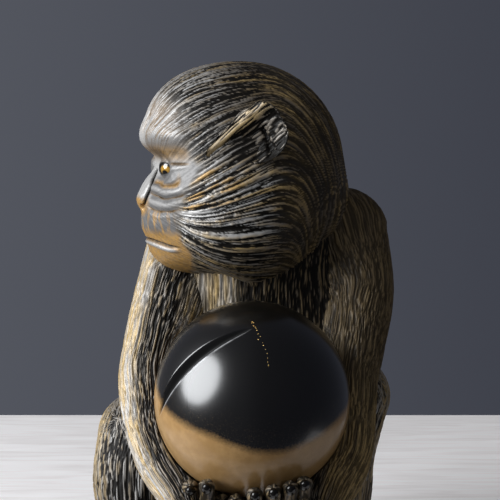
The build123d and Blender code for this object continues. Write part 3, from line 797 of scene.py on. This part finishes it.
def head_shell(side, rows=236, columns=412):
    """Half a head: rays from behind the face, closest together on the face, out to the head's surface."""
    level = np.linspace(0, 1, rows)
    tilt = np.pi * (0.6 * level + 0.4 * level**2)
    turn = np.linspace(0, np.pi, columns)
    ways = np.stack(np.broadcast_arrays(np.cos(tilt)[:, None], side * np.sin(tilt)[:, None] * np.sin(turn),
                                        np.sin(tilt)[:, None] * np.cos(turn)), -1)
    points = HEAD_EYE + ways * cast(head_field, HEAD_EYE, ways, 75)[..., None]
    meeting = np.min([field(to_world(points)) for field in SHOULDERS], axis=0)
    points = points + ways * (swelling(meeting, NECK_SWELL) * (1 - ramp(points[..., 0], 0, 14)))[..., None]
    forward, up = points[..., 0], points[..., 2]
    bare = bare_face(points)
    # The ruff's brushing fades towards the underside of the jaw: a painted shade there.
    ruff = ramp(-up, -6, 2) * ramp(forward, -12, 4) * (1 - bare) * (1 - 0.75 * ramp(-up, 20, 34))
    temple = ramp(forward, -4, 34) * ramp(up, -2, 8)
    crown = ramp(up, 22, 36)
    # bowl marks the head's fur within the ear's hollow: fewer crests brushed there and less gold, a painted shade in
    # that hollow.
    x, z = forward - EAR_PLACE[0], up - EAR_PLACE[2]
    along, across = x * np.cos(EAR_LEAN) - z * np.sin(EAR_LEAN), x * np.sin(EAR_LEAN) + z * np.cos(EAR_LEAN)
    bowl = np.exp(-(((along - 1) / 8) ** 2) - ((across + 1) / 4) ** 2)
    height, tuft = smeared_fur(points, head_flow, on_skull, 0.39)
    stipple = np.tanh(2.6 * noise(points / 0.5))
    height = height + (stipple - height) * 0.35 * crown
    relief = (height * (0.32 + 0.22 * ruff) + 0.45 * np.tanh(tuft) * ruff) * (1 - 0.3 * crown)
    ridge = ridges(height, np.clip(0.36 + 0.18 * temple + 0.24 * ruff + 0.2 * crown * ramp(forward, -10, 20) - 0.3 * bowl, 0, 1))
    puffs, lines, fold, line, lips = face_lines(points)
    rim = lid_rim(points)
    skin = -0.35 * puffs - 0.35 * lines - 1.1 * fold - 1.0 * line + 0.6 * lips + 0.05 * noise(points / 1.1)
    skin = skin - MOUTH_SET_BACK * np.exp(-(((up - MOUTH_FRONT[1]) / 4.5) ** 2)) * ramp(forward, 30, 38)
    brow = ramp(up, 8, 15)
    relief = relief * (1 - (0.9 - 0.45 * brow) * bare) + skin * bare
    strokes = (0.2 + 0.35 * brow) * (1 - ridges(height, 0.75))
    # Beneath the brow the bare skin is tan and less brushed on its crests: a painted shade under the brow, taken from
    # the worn paint of the face along with its lines and folds.
    under_brow = ramp(forward, 25, 30) * np.exp(-(((up - 6.6) / 2.4) ** 2))
    wear_and_painted_light = np.clip(1 - 0.75 * lines - 1.3 * fold - line - strokes - 0.55 * under_brow, 0, 1)
    # Paint lifted into the grooves, with more gold, at the back of the head: a painted fill light on the side away
    # from the lamp.
    painted_rear_fill = 0.18 * (1 - ramp(forward, -14, 2))
    ridge = ((painted_rear_fill + (1 - painted_rear_fill) * ridge) * (1 - bare) + wear_and_painted_light * bare) * (1 - 0.95 * rim)
    normals = grid_normals(points, ways, False)
    normals[:, [0, -1], 1] = 0
    laid = points + unit(normals) * relief[..., None]
    nose = (1 - ramp(np.linalg.norm(points - np.array(NOSE_TIP[0]), axis=-1), 5.5, 8.5)) * ramp(-up + noise(points), 9.5, 12.5)
    # lip: silver on the lower lip's crest, partly silver paint and partly a painted highlight.
    lip = np.clip(1.2 * lips, 0, 1) * bare
    chin = ramp(-up, 22, 27)
    whisker = ramp(noise(points * np.array((1.2, 1.2, 0.12))), 0.0, 0.5) * ramp(-up, 14, 19) * ramp(forward, 30, 35)
    hollows = 0.8 * lines + 0.6 * np.clip(puffs, 0, 1) * ramp(up, -10, -7)
    tan = np.clip(1.2 * chin + 0.8 * whisker + nose + 0.8 * under_brow + hollows + brow * strokes, 0, 1) * bare * (1 - lip)
    locks = ruff * ramp(tuft, 0.2, 1.2) * ramp(forward, 4, 18) * (1 - ramp(-up, 14, 20))
    tan = tan + 0.7 * locks * (1 - bare)
    brushed = (0.06 + 0.6 * ruff + 0.55 * temple) * (1 - bare) + 0.75 * brow * bare
    bridge = (1 - ramp(np.abs(points[..., 1]), 5, 8)) * ramp(forward, 32, 35) * (1 - ramp(-up, 10, 12.5))
    brushed = brushed + (0.7 * np.clip(-puffs, 0, 1) + bridge) * bare
    masks = {"ridge": ridge, "bare": bare, "tan": tan,
             "gold": np.clip((0.16 + 0.5 * ruff + 0.12 * crown + painted_rear_fill) * (1 + 0.8 * tuft) * (1 - 0.7 * bowl), 0, 1),
             "silver": np.clip(brushed * (1 - 0.55 * tuft * (1 - bare)) + lip + 0.15 * bowl, 0, 1)}
    return Shell(to_world(laid), wrap=False, hub=to_world(HEAD_EYE), **masks)


# Eyes
def eye_shell(side, rows=40, columns=48):
    """A bead about the line of sight, with its iris and pupil by angle from that line."""
    tilt = np.linspace(0.001, np.pi - 0.001, rows)[:, None]
    turn = np.linspace(0, 2 * np.pi, columns, endpoint=False)
    ahead, across, up = (way * np.array((1, side, 1)) for way in eye_directions())
    ways = (np.cos(tilt)[..., None] * ahead
            + np.sin(tilt)[..., None] * (np.cos(turn)[:, None] * across + np.sin(turn)[:, None] * up))
    points = to_world(EYE_PLACE * np.array((1, side, 1)) + ways * EYE_RADIUS)
    angle = np.arccos(np.clip(ways @ (unit(PUPIL_WAY) * np.array((1, side, 1))), -1, 1))
    return Shell(points, iris=1 - ramp(angle, 0.7, 0.85), pupil=1 - ramp(angle, 0.34, 0.40))


# Ears
def ear_turned(places, side):
    """Leans an ear back and flares it off the skull."""
    lean, flare = EAR_LEAN, -EAR_FLARE * side
    x, y, z = places[..., 0], places[..., 1], places[..., 2]
    x, z = x * np.cos(lean) + z * np.sin(lean), -x * np.sin(lean) + z * np.cos(lean)
    x, y = x * np.cos(flare) - y * np.sin(flare), x * np.sin(flare) + y * np.cos(flare)
    return np.stack([x, y, z], -1)


def ear_shell(side, rows=110, columns=220):
    """A leaf from the middle of its back round the edge to the middle of its bowl, with a straight front rim and a notch."""
    fold = np.linspace(-1, 1, rows)[:, None]
    turn = np.linspace(0, 2 * np.pi, columns, endpoint=False)
    reach = np.sin((1 - np.abs(fold)) * np.pi / 2)
    dome = np.sqrt(np.clip(1 - reach**2, 0, 1))
    edge = np.interp(np.degrees(turn), EAR_ANGLES, EAR_REACHES)
    for _ in range(6):
        edge = (np.roll(edge, 1) + 2 * edge + np.roll(edge, -1)) / 4
    x, z = edge * reach * np.cos(turn), edge * reach * np.sin(turn)
    inside = fold > 0
    rim = np.where(inside, np.exp(-(((z - EAR_RIM) / (2.0 + 1.3 * ramp(-x, -12, 6))) ** 2)), 0)
    start, run = np.array(EAR_NOTCH[0]), np.subtract(EAR_NOTCH[1], EAR_NOTCH[0])
    share = np.clip(((x - start[0]) * run[0] + (z - start[1]) * run[1]) / (run @ run), 0, 1)
    gap = np.hypot(x - start[0] - share * run[0], z - start[1] - share * run[1])
    notch = np.where(inside, np.exp(-((gap / (0.7 + 0.9 * share)) ** 2)), 0)
    hollow = np.where(inside, np.exp(-(((z + 2) / 4.2) ** 2)) * ramp(x, -9, -6), 0)
    out = np.where(inside, 2.8 * rim - 2.2 * dome - 1.6 * notch - 1.0 * hollow, -0.75 * EAR_DEPTH * dome)
    flat = np.stack(np.broadcast_arrays(x, out * side, z), -1)
    height, tuft = combed_fur(flat * np.array((1 / STRAND_STRETCH, 1, 1)) + wander(flat), 0.7)
    points = ear_turned(flat, side) + EAR_PLACE * np.array((1, side, 1))
    outwards = np.where(inside[..., None], 1.0, -1.0) * np.array((0, side, 0)) + 0 * points
    points = points + grid_normals(points, outwards, True) * (0.3 * height * (1 - 0.6 * rim))[..., None]
    flap = np.where(inside, ramp(-x, 6.5, 9.5), 0)
    ridge = ridges(height, np.clip(0.24 + 0.5 * rim - 0.1 * flap - 0.18 * hollow, 0, 1)) * (1 - 0.95 * notch)
    gold = np.clip((0.15 + 0.7 * rim) * (1 + 0.6 * tuft), 0, 1)
    silver = np.clip(0.3 * (1 - 0.8 * rim) + 0.1 * flap + 0.2 * np.where(inside, ramp(z, 6.5, 8), 0), 0, 1) + 0 * gold
    return Shell(to_world(points), ridge=ridge, gold=gold, silver=silver)


# Arms and legs
def limb_shell(stations, others, rows, columns, shade):
    """A furred tube along its stations that swells where another form meets it, brushed as shade says."""
    points, outwards, lie, tip = tube_grid(run_through(stations, rows), columns)
    gap = np.min([field(points) for field in others], axis=0)
    points = points + outwards * swelling(gap)[..., None]
    points, masks = furred(points, outwards, lie, *shade(points, outwards), tip=tip)
    return Shell(points, **masks)


def arm_shade(points, outwards):
    """Gold, silver, cover and lift of an arm: pale gold along its outer edge, bare crests inside it, bronze on the
    left. On the right arm, which faces the lamp, the pale outer edge with paint in its grooves is partly a painted
    highlight, and its silver crests are a painted sheen.
    """
    outer = ramp(np.abs(outwards[..., 0]) - 0.35 * outwards[..., 1], 0.55, 0.95) * ramp(-points[..., 0], 20, 30)
    left = ramp(points[..., 0], 20, 30)
    low = ramp(-points[..., 2], -95, -60)
    gold = 0.2 + 0.75 * outer + (0.6 * low - 0.05) * left
    silver = 0.25 * (1 - left) + 0.15 * outer
    return gold, silver, 0.2 + 0.8 * outer + 0.24 * left, 0.3 * left + 0.7 * outer


def leg_shade(points, outwards):
    """Gold, silver and cover of a leg: silver crests, gold along its outer edge."""
    outer = ramp(np.abs(outwards[..., 0]), 0.6, 0.95)
    return 0.15 + 0.6 * outer, 0.5 - 0.3 * outer, 0.24 + 0.4 * outer


def leg_shells(side):
    """Thigh and shin, each swelling towards the haunch."""
    stations = LEGS[side]
    thigh, shin = stations[:2], stations[1:]
    upper = limb_shell(thigh, [torso_field], 66, 390, leg_shade)
    lower = limb_shell(shin, [torso_field], 90, 340, leg_shade)
    return [upper, lower]


# Hands
def finger_shells(offset, tip):
    """A finger along the ball's round, thicker at its joints, with a nail plate on its tip."""
    reach = BALL_RADIUS + FINGER_GAP + FINGER_RADIUS
    sweep = np.sqrt(reach**2 - offset**2)
    angle = np.radians(np.linspace(FINGER_ROOT, tip, 7))
    hub = BALL_CENTRE + np.array((offset, 0, 0))
    line = hub + np.stack([0 * angle, -np.sin(angle), -np.cos(angle)], -1) * sweep
    thick = FINGER_RADIUS * (1 + 0.06 * np.cos(np.linspace(0, 4 * np.pi, 7)) - 0.10 * np.linspace(0, 1, 7))
    run = run_through(list(zip(map(tuple, line), thick)), 60)
    points, outwards, lie, tip = tube_grid(run, 40, 12)
    points, masks = furred(points, outwards, lie, 0.3, 0.1, 0.45, 0.1, 0.6, 0.14, tip=tip)
    away = unit(line[-1] - hub)
    ahead = unit(line[-1] - line[-2])
    plate = ellipsoid_shell(line[-1] + away * 1.35 + ahead * 1.5, (1.9, 2.7, 1.9), ahead)
    return [Shell(points, **masks), plate]


def ellipsoid_shell(centre, radii, ahead, rows=18, columns=24):
    """A small smooth ellipsoid whose second radius lies along a way, painted as a nail."""
    ahead = unit(np.array(ahead, float))
    side = np.array((1.0, 0, 0))
    up = np.cross(side, ahead)
    tilt = np.linspace(0.02, np.pi - 0.02, rows)[:, None]
    turn = np.linspace(0, 2 * np.pi, columns, endpoint=False)
    spots = np.stack(np.broadcast_arrays(np.sin(tilt) * np.cos(turn), np.cos(tilt), np.sin(tilt) * np.sin(turn)), -1)
    points = centre + (spots * np.array(radii)) @ np.stack([side, ahead, up])
    whole = np.ones(points.shape[:2])
    return Shell(points, ridge=whole, nail=whole)


def star_shell(field, middle, far, way, rows, columns, gold=0.35, floor=None):
    """A furred form by rays from a point inside it, flattened on a floor where one is given."""
    tilt = np.linspace(0.01, np.pi - 0.01, rows)[:, None]
    turn = np.linspace(0, 2 * np.pi, columns, endpoint=False)
    ways = np.stack(np.broadcast_arrays(np.sin(tilt) * np.cos(turn), np.sin(tilt) * np.sin(turn), np.cos(tilt)), -1)
    points = middle + ways * cast(field, middle, ways, far)[..., None]
    points, masks = furred(points, ways, drawn_along(points, way), gold, 0.1, depth=0.28)
    if floor is not None:
        points[..., 2] = np.maximum(points[..., 2], floor)
    return Shell(points, **masks)


def hand_shells(side):
    """A palm under the ball and its fingers."""
    middle = BALL_CENTRE + np.array((PALM_PLACE[0] * SIDES[side], PALM_PLACE[1], PALM_PLACE[2] - BALL_RADIUS))
    palm = star_shell(lambda p: ellipsoid_field(p, (middle, PALM_RADII)), middle, 30,
                      (0, -1, 0), 60, 90)
    fingers = {"right": RIGHT_FINGERS, "left": LEFT_FINGERS}[side]
    return [palm] + [shell for offset, tip in fingers for shell in finger_shells(offset, tip)]


# Feet
def foot_shells(side):
    """Heel and sole run together, and toes with nails at the front."""
    ankle = np.array(LEGS[side][-1][0], float)
    turn = FOOT_TURN * SIDES[side]
    c, s = np.cos(turn), np.sin(turn)

    def placed(x, y, z):
        return np.array((ankle[0] + x * c - y * s, ankle[1] + x * s + y * c, z))

    def unplaced(p):
        x, y = p[..., 0] - ankle[0], p[..., 1] - ankle[1]
        return np.stack([x * c + y * s, -x * s + y * c, p[..., 2]], -1)

    def field(p):
        own = unplaced(p)
        heel = ellipsoid_field(own, ((0, 0, SOLE_HEIGHT), HEEL_RADII))
        return soft_union(heel, ellipsoid_field(own, ((0, -SOLE_REACH, SOLE_HEIGHT), SOLE_RADII)), 6)

    ahead = placed(0, -1, 0) - placed(0, 0, 0)
    shells = [star_shell(field, placed(0, -10, SOLE_HEIGHT), 50, ahead, 110, 150, floor=TORSO_FOOT)]
    for toe in range(TOES):
        step = toe - (TOES - 1) / 2
        tip = TOE_REACH - TOE_CURVE * step**2
        middle = placed(TOE_PITCH * step, -tip, TOE_HEIGHT)
        shells.append(star_shell(lambda p: ellipsoid_field(unplaced(p), ((TOE_PITCH * step, -tip, TOE_HEIGHT), TOE_RADII)),
                                 middle, 12, ahead, 40, 44, floor=TORSO_FOOT))
        shells.append(ellipsoid_shell(middle + ahead * 5.2 + np.array((0, 0, 2.3)), (1.9, 2.6, 1.2), ahead))
    return shells


# Ball
def crease_directions():
    """The crease's axis, the middle of its run and the way along it."""
    axis = unit(CREASE_NORMAL)
    middle = unit(CREASE_MIDDLE - (CREASE_MIDDLE @ axis) * axis)
    return axis, middle, np.cross(axis, middle)


def ball_shell(rows=230, columns=400):
    """A ball turned about the crease's axis, sunk along its equator by a groove that fades at both ends."""
    axis, middle, forward = crease_directions()
    step = np.linspace(-1, 1, rows)
    rise = np.clip(np.sign(step) * (0.35 * np.abs(step) + 0.65 * np.abs(step) ** 2) * np.pi / 2, -1.5705, 1.5705)[:, None]
    turn = np.linspace(-np.pi, np.pi, columns, endpoint=False)
    ways = (np.cos(rise) * np.cos(turn))[..., None] * middle + (np.cos(rise) * np.sin(turn))[..., None] * forward
    ways = ways + np.broadcast_to(np.sin(rise), (rows, columns))[..., None] * axis
    run = np.clip(1 - (turn / CREASE_HALF_ANGLE) ** 2, 0, 1)
    width = np.maximum(CREASE_HALF_WIDTH * run**0.6, 1e-3)
    across = np.minimum(np.abs(BALL_RADIUS * np.sin(rise)) / width, 1)
    sunk = np.where(run > 0, run**0.7 * (1 + np.cos(np.pi * across**1.4)) / 2, 0)
    points = BALL_CENTRE + ways * (BALL_RADIUS - CREASE_DEPTH * sunk)[..., None]
    level = BORDER_LEVEL + np.interp(ways[..., 0], *BORDER_WAVE)
    border = (ways @ BORDER_NORMAL - level) * 4.5 + 0.5 + 0.05 * noise(points / 6)
    # A pale line along the crease's lower edge: partly a worn edge, partly a painted highlight where that edge catches
    # the lamp.
    edge = BALL_RADIUS * np.sin(rise) / width - 0.95
    wear_and_painted_light = np.where(run > 0, np.sqrt(run) * np.exp(-((edge / 0.16) ** 2)), 0) * (0.4 + 0.6 * patches(points, 1.5))
    dusted = 1 - ramp(border, 0.6, 2.2)
    return Shell(points, border=np.clip(border, 0, 1), dusted=dusted, crease=ramp(sunk, 0.05, 0.4), wear_and_painted_light=wear_and_painted_light)


def fleck_shells():
    """A trail of gold-leaf crumbs down the front of the ball, thinning out on the way."""
    draw = np.random.default_rng(3)
    start, end = unit(np.array(FLECK_TRAIL, float))
    shells = []
    for share in np.linspace(0, 1, 17) ** 1.3:
        way = unit(start + (end - start) * share + draw.normal(0, 0.009, 3))
        size = draw.uniform(0.16, 0.34) * (1.1 - 0.5 * share)
        shells.append(ellipsoid_shell(BALL_CENTRE + way * BALL_RADIUS, (size, size * 0.9, size * 0.6),
                                      np.cross(way, (1, 0, 0)), 6, 8))
    return shells


# Turned pieces
def bar_shell(middle, along_way, radius, length, columns=48):
    """A plain round bar with a flat face at each end."""
    ahead = unit(np.array(along_way, float))
    side = unit(np.cross(ahead, (0.3, 0.5, 0.8)))
    front = np.cross(ahead, side)
    turn = np.linspace(0, 2 * np.pi, columns, endpoint=False)
    spokes = np.cos(turn)[:, None] * side + np.sin(turn)[:, None] * front
    stops = ((-0.5, 0.02), (-0.5, 0.97), (-0.48, 1), (0.48, 1), (0.5, 0.97), (0.5, 0.02))
    return Shell(np.stack([middle + ahead * length * place + spokes * radius * share for place, share in stops]))


def plate_shell(radii, bottom, height, columns=120):
    """An upright elliptic plate over the middle of the base."""
    turn = np.linspace(0, 2 * np.pi, columns, endpoint=False)
    oval = np.stack([radii[0] * np.cos(turn), radii[1] * np.sin(turn), 0 * turn], -1)
    stops = ((0, 0.02), (0, 0.99), (0.1, 1), (0.9, 1), (1, 0.99), (1, 0.02))
    return Shell(np.stack([oval * share + np.array((0, 0, bottom + height * place)) for place, share in stops]))


# Assembly
put_piece("torso", [torso_shell()], FUR, "figure", ["body_casting"])
for side, sign in SIDES.items():
    put_piece(f"head_{side}_half", [head_shell(sign)], FUR, "figure", ["head_casting"])
    put_piece(f"{side}_ear_flap", [ear_shell(sign)], FUR, "figure", [f"{side}_ear"])
    put_piece(f"{side}_eye_bead", [eye_shell(sign)], AMBER, "figure", [f"{side}_eye"])
    arm = limb_shell(ARMS[side], [torso_field, skull_field], 170, 400, arm_shade)
    put_piece(f"{side}_arm_fur", [arm], FUR, "figure", [f"{side}_arm"])
    put_piece(f"{side}_hand_fur", hand_shells(side), FUR, "figure", [f"{side}_hand"])
    put_piece(f"{side}_leg_fur", leg_shells(side), FUR, "figure", [f"{side}_leg"])
    put_piece(f"{side}_foot_fur", foot_shells(side), FUR, "figure", [f"{side}_foot"])
put_piece("ball_round", [ball_shell()], LACQUER, "ball", ["ball_shell", "ball_plug"])
put_piece("gold_flecks", fleck_shells(), GILT, "ball", ["ball_shell"])

# Stage
FLOOR_BACK = 281
FLOOR_FRONT = -118
FLOOR_SPAN = 175


def seen_rays(tree):
    """1 for rays that the camera, a gloss or a glass looks along, 0 for the light between surfaces."""
    path = tree.nodes.new("ShaderNodeLightPath")
    share = path.outputs["Is Camera Ray"]
    for name in ("Is Glossy Ray", "Is Transmission Ray"):
        node = tree.nodes.new("ShaderNodeMath")
        node.operation = "MAXIMUM"
        tree.links.new(share, node.inputs[0])
        tree.links.new(path.outputs[name], node.inputs[1])
        share = node.outputs["Value"]
    return share


def floor_material():
    """Pale boards with a faint grain, lifted a little for rays that the camera, a gloss or a glass looks along, and
    dim to the light between surfaces.
    """
    made, tree, shader = new_material("pale_table")
    place, stretch = tree.nodes.new("ShaderNodeTexCoord"), tree.nodes.new("ShaderNodeMapping")
    stretch.inputs["Scale"].default_value = (9, 75, 1)
    tree.links.new(place.outputs["Object"], stretch.inputs["Vector"])
    grain = tree.nodes.new("ShaderNodeTexNoise")
    grain.inputs["Scale"].default_value = 2
    grain.inputs["Detail"].default_value = 7
    grain.inputs["Distortion"].default_value = 0.8
    tree.links.new(stretch.outputs["Vector"], grain.inputs["Vector"])
    board = blended(tree, grain.outputs["Fac"], (0.62, 0.58, 0.57), (1.0, 0.99, 1.0))
    seen = seen_rays(tree)
    tree.links.new(blended(tree, seen, (0.22, 0.20, 0.18), board), shader.inputs["Base Color"])
    shader.inputs["Roughness"].default_value = 0.7
    tree.links.new(board, shader.inputs["Emission Color"])
    tree.links.new(scaled(tree, seen, 0, 0.22), shader.inputs["Emission Strength"])
    return made


def add_floor():
    """A flat table top whose back edge lies behind the figure."""
    x, near, far = FLOOR_SPAN * MM, FLOOR_FRONT * MM, FLOOR_BACK * MM
    mesh = bpy.data.meshes.new("table")
    mesh.from_pydata([(-x, near, 0), (x, near, 0), (x, far, 0), (-x, far, 0)], [], [(0, 1, 2, 3)])
    mesh.materials.append(floor_material())
    table = bpy.data.objects.new("table", mesh)
    bpy.context.scene.collection.objects.link(table)


def aim(thing, place, target):
    """Puts a lamp or camera at a place, looking at a target, both in millimetres."""
    from mathutils import Vector
    thing.location = Vector(np.array(place) * MM)
    thing.rotation_euler = (Vector(np.array(target) * MM) - thing.location).to_track_quat("-Z", "Y").to_euler()


def add_lamp(name, way, distance, width, height, power, colour):
    """A soft round-edged lamp at a way and distance from the figure's middle."""
    lamp = bpy.data.lights.new(name, "AREA")
    lamp.shape, lamp.size, lamp.size_y = "ELLIPSE", width * MM, height * MM
    lamp.energy, lamp.color = power, colour
    thing = bpy.data.objects.new(name, lamp)
    bpy.context.scene.collection.objects.link(thing)
    target = np.array((0, -30, 110))
    aim(thing, target + unit(np.array(way, float)) * distance, target)
    return thing


def add_world():
    """A slate backdrop, lighter to the left, that fills the shadows only a little."""
    world = bpy.data.worlds.new("slate")
    world.use_nodes = True
    tree = world.node_tree
    back = tree.nodes["Background"]
    place, parts = tree.nodes.new("ShaderNodeTexCoord"), tree.nodes.new("ShaderNodeSeparateXYZ")
    tree.links.new(place.outputs["Generated"], parts.inputs["Vector"])
    across = tree.nodes.new("ShaderNodeMapRange")
    across.inputs["From Min"].default_value = -0.18
    across.inputs["From Max"].default_value = 0.18
    tree.links.new(parts.outputs["X"], across.inputs["Value"])
    slate = blended(tree, across.outputs["Result"], (0.086, 0.092, 0.112), (0.050, 0.054, 0.070))
    tree.links.new(blended(tree, seen_rays(tree), (0.035, 0.035, 0.038), slate), back.inputs["Color"])
    bpy.context.scene.world = world


CAMERA_TARGET = np.array((-3.2, -18, 134.8))
CAMERA_DISTANCE = 560
CAMERA_RISE = np.radians(6)
CAMERA_FOCUS = 1400 / 500  # focal length in frame widths


def add_camera():
    """The photograph's viewpoint: a little above the middle of the head and chest."""
    lens = bpy.data.cameras.new("camera")
    lens.sensor_width = 36
    lens.lens = 36 * CAMERA_FOCUS
    lens.clip_start = 0.01
    camera = bpy.data.objects.new("camera", lens)
    bpy.context.scene.collection.objects.link(camera)
    back = np.array((0, -np.cos(CAMERA_RISE), np.sin(CAMERA_RISE)))
    aim(camera, CAMERA_TARGET + back * CAMERA_DISTANCE, CAMERA_TARGET)
    bpy.context.scene.camera = camera


add_floor()
add_world()
add_lamp("window", (-0.845, -0.355, 0.36), 800, 720, 720, 12.8, (0.95, 0.975, 1))
add_lamp("fill", (0.55, -0.80, 0.35), 1200, 900, 900, 2.2, (0.96, 0.98, 1)).visible_glossy = False
add_camera()
bpy.context.scene.view_settings.view_transform = "Standard"
